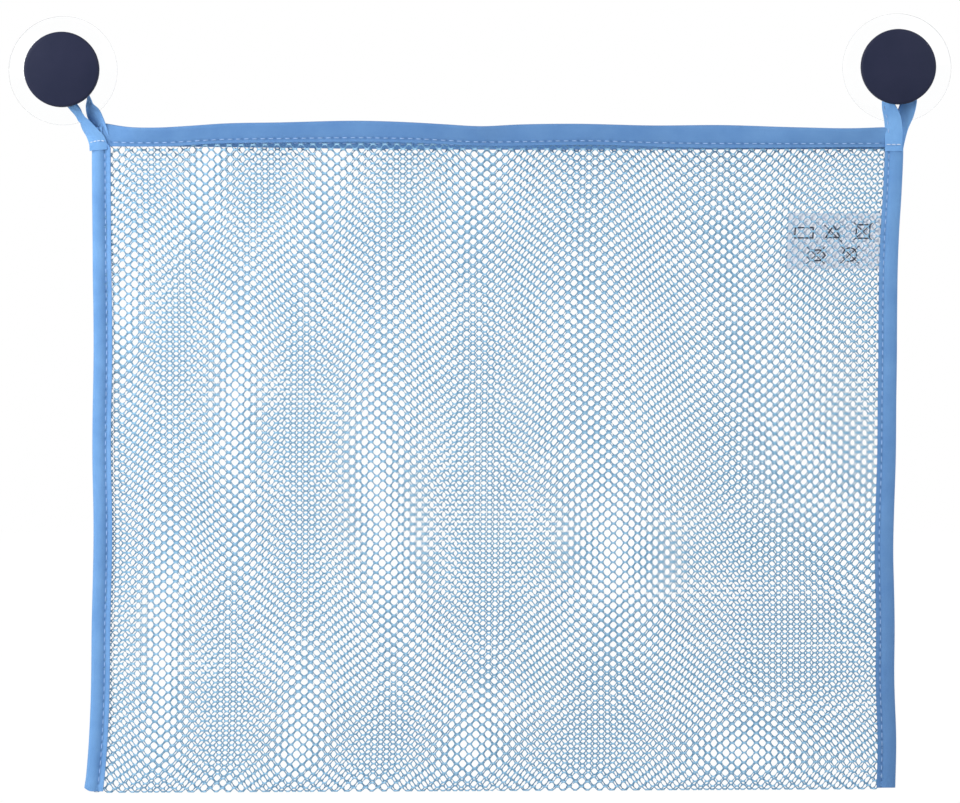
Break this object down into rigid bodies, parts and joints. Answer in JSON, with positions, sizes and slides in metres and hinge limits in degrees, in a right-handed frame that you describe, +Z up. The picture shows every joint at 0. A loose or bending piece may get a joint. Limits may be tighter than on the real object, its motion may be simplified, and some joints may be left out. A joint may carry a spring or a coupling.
{
  "type": "bath toy organizer",
  "caption": "Flat net bag with tape-bound edges and an open mouth, hung by loops from suction cups with round caps, for draining and storing bath toys on a wall.",
  "frame": {"origin": "on the wall plane, midway between the axes of the two suction cups", "axes": "+X along the wall to the right as seen from the front, +Y into the wall, +Z up; the bag's front faces -Y"},
  "size_m": [0.5196, 0.0305, 0.4282],
  "materials": {
    "clear_cup": "clear soft PVC, glossy",
    "navy_cap": "navy, fine matte moulded",
    "blue_tape": "light blue woven polyester tape",
    "blue_net": "light blue knitted polyester net",
    "pale_thread": "pale blue sewing thread",
    "white_satin": "thin white satin ribbon"
  },
  "bodies": {
    "cups_on_wall": {"left_suction_cup": "clear_cup", "right_suction_cup": "clear_cup", "left_loop": "blue_tape", "right_loop": "blue_tape"},
    "left_cover": {"left_cap": "navy_cap"},
    "right_cover": {"right_cap": "navy_cap"},
    "bag": {"left_loop_end": "blue_tape", "right_loop_end": "blue_tape", "left_loop_tack": "pale_thread", "right_loop_tack": "pale_thread", "left_side_binding": "blue_tape", "right_side_binding": "blue_tape", "left_side_stitching": "pale_thread", "right_side_stitching": "pale_thread", "back_net": "blue_net", "bottom_fold": "blue_net", "back_mouth_binding": "blue_tape", "back_mouth_stitching": "pale_thread", "care_label": "white_satin"},
    "bag_front": {"front_net": "blue_net", "front_mouth_binding": "blue_tape", "front_mouth_stitching": "pale_thread"}
  },
  "joints": [
    {"name": "bag_swing", "type": "hinge", "parent": "cups_on_wall", "child": "bag", "pos_m": [0.0096, -0.01525, -0.03215], "axis": [-1, 0, 0], "range_deg": [0, 60]},
    {"name": "mouth_open", "type": "hinge", "parent": "bag", "child": "bag_front", "pos_m": [0.0096, -0.0131, -0.39555], "axis": [1, 0, 0], "range_deg": [0, 12], "stiffness_Nm_per_rad": 0.3},
    {"name": "left_cap_pull", "type": "slide", "parent": "cups_on_wall", "child": "left_cover", "axis": [0, -1, 0], "range_m": [0, 0.025]},
    {"name": "right_cap_pull", "type": "slide", "parent": "cups_on_wall", "child": "right_cover", "axis": [0, -1, 0], "range_m": [0, 0.025]}
  ]
}
